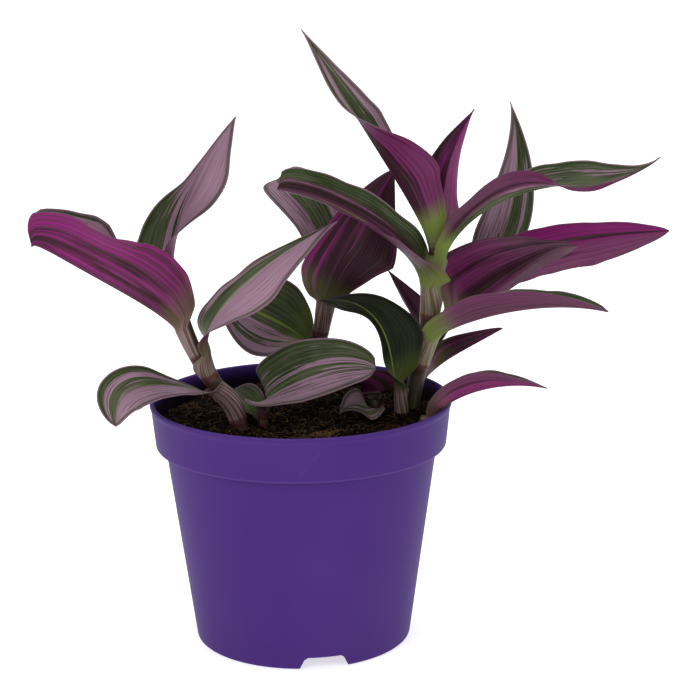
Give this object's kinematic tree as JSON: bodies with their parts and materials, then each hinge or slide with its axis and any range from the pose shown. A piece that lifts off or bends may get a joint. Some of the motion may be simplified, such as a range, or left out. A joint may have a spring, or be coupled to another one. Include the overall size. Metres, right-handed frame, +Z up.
{
  "type": "potted tradescantia",
  "caption": "Trailing houseplant with striped pointed leaves on jointed upright stems, standing in soil in a round tapered nursery pot with a wide rim band.",
  "frame": {"origin": "centre of the pot's base circle, on the plane it stands on", "axes": "+Z up along the pot's axis, +Y towards the back of the plant, +X to the right as seen from the front"},
  "size_m": [0.2519, 0.12, 0.2433],
  "materials": {
    "pot_plastic": "satin moulded polypropylene",
    "soil": "loose peat, rough and matte",
    "stem_tissue": "smooth living stem with a soft sheen",
    "leaf_tissue": "smooth leaf, striped, satin above and purple beneath"
  },
  "bodies": {
    "root": {"pot": "pot_plastic", "soil": "soil", "left_shoot_stem": "stem_tissue", "back_shoot_stem": "stem_tissue", "inner_shoot_stem": "stem_tissue", "main_shoot_stem": "stem_tissue", "right_shoot_stem": "stem_tissue", "small_shoot_stem": "stem_tissue", "front_shoot_stem": "stem_tissue", "edge_shoot_stem": "stem_tissue", "left_shoot_leaf_4": "leaf_tissue", "left_shoot_leaf_3": "leaf_tissue", "left_shoot_leaf_1": "leaf_tissue", "left_shoot_leaf_2": "leaf_tissue", "front_shoot_leaf_1": "leaf_tissue", "front_shoot_leaf_2": "leaf_tissue", "back_shoot_leaf_6": "leaf_tissue", "back_shoot_leaf_3": "leaf_tissue", "back_shoot_leaf_1": "leaf_tissue", "inner_shoot_leaf_2": "leaf_tissue", "edge_shoot_leaf_1": "leaf_tissue", "main_shoot_leaf_7": "leaf_tissue", "main_shoot_leaf_5": "leaf_tissue", "main_shoot_leaf_3": "leaf_tissue", "main_shoot_leaf_1": "leaf_tissue", "main_shoot_leaf_2": "leaf_tissue", "right_shoot_leaf_8": "leaf_tissue", "right_shoot_leaf_10": "leaf_tissue", "right_shoot_leaf_6": "leaf_tissue", "right_shoot_leaf_5": "leaf_tissue", "right_shoot_leaf_4": "leaf_tissue", "small_shoot_leaf_1": "leaf_tissue", "small_shoot_leaf_2": "leaf_tissue"}
  },
  "joints": []
}
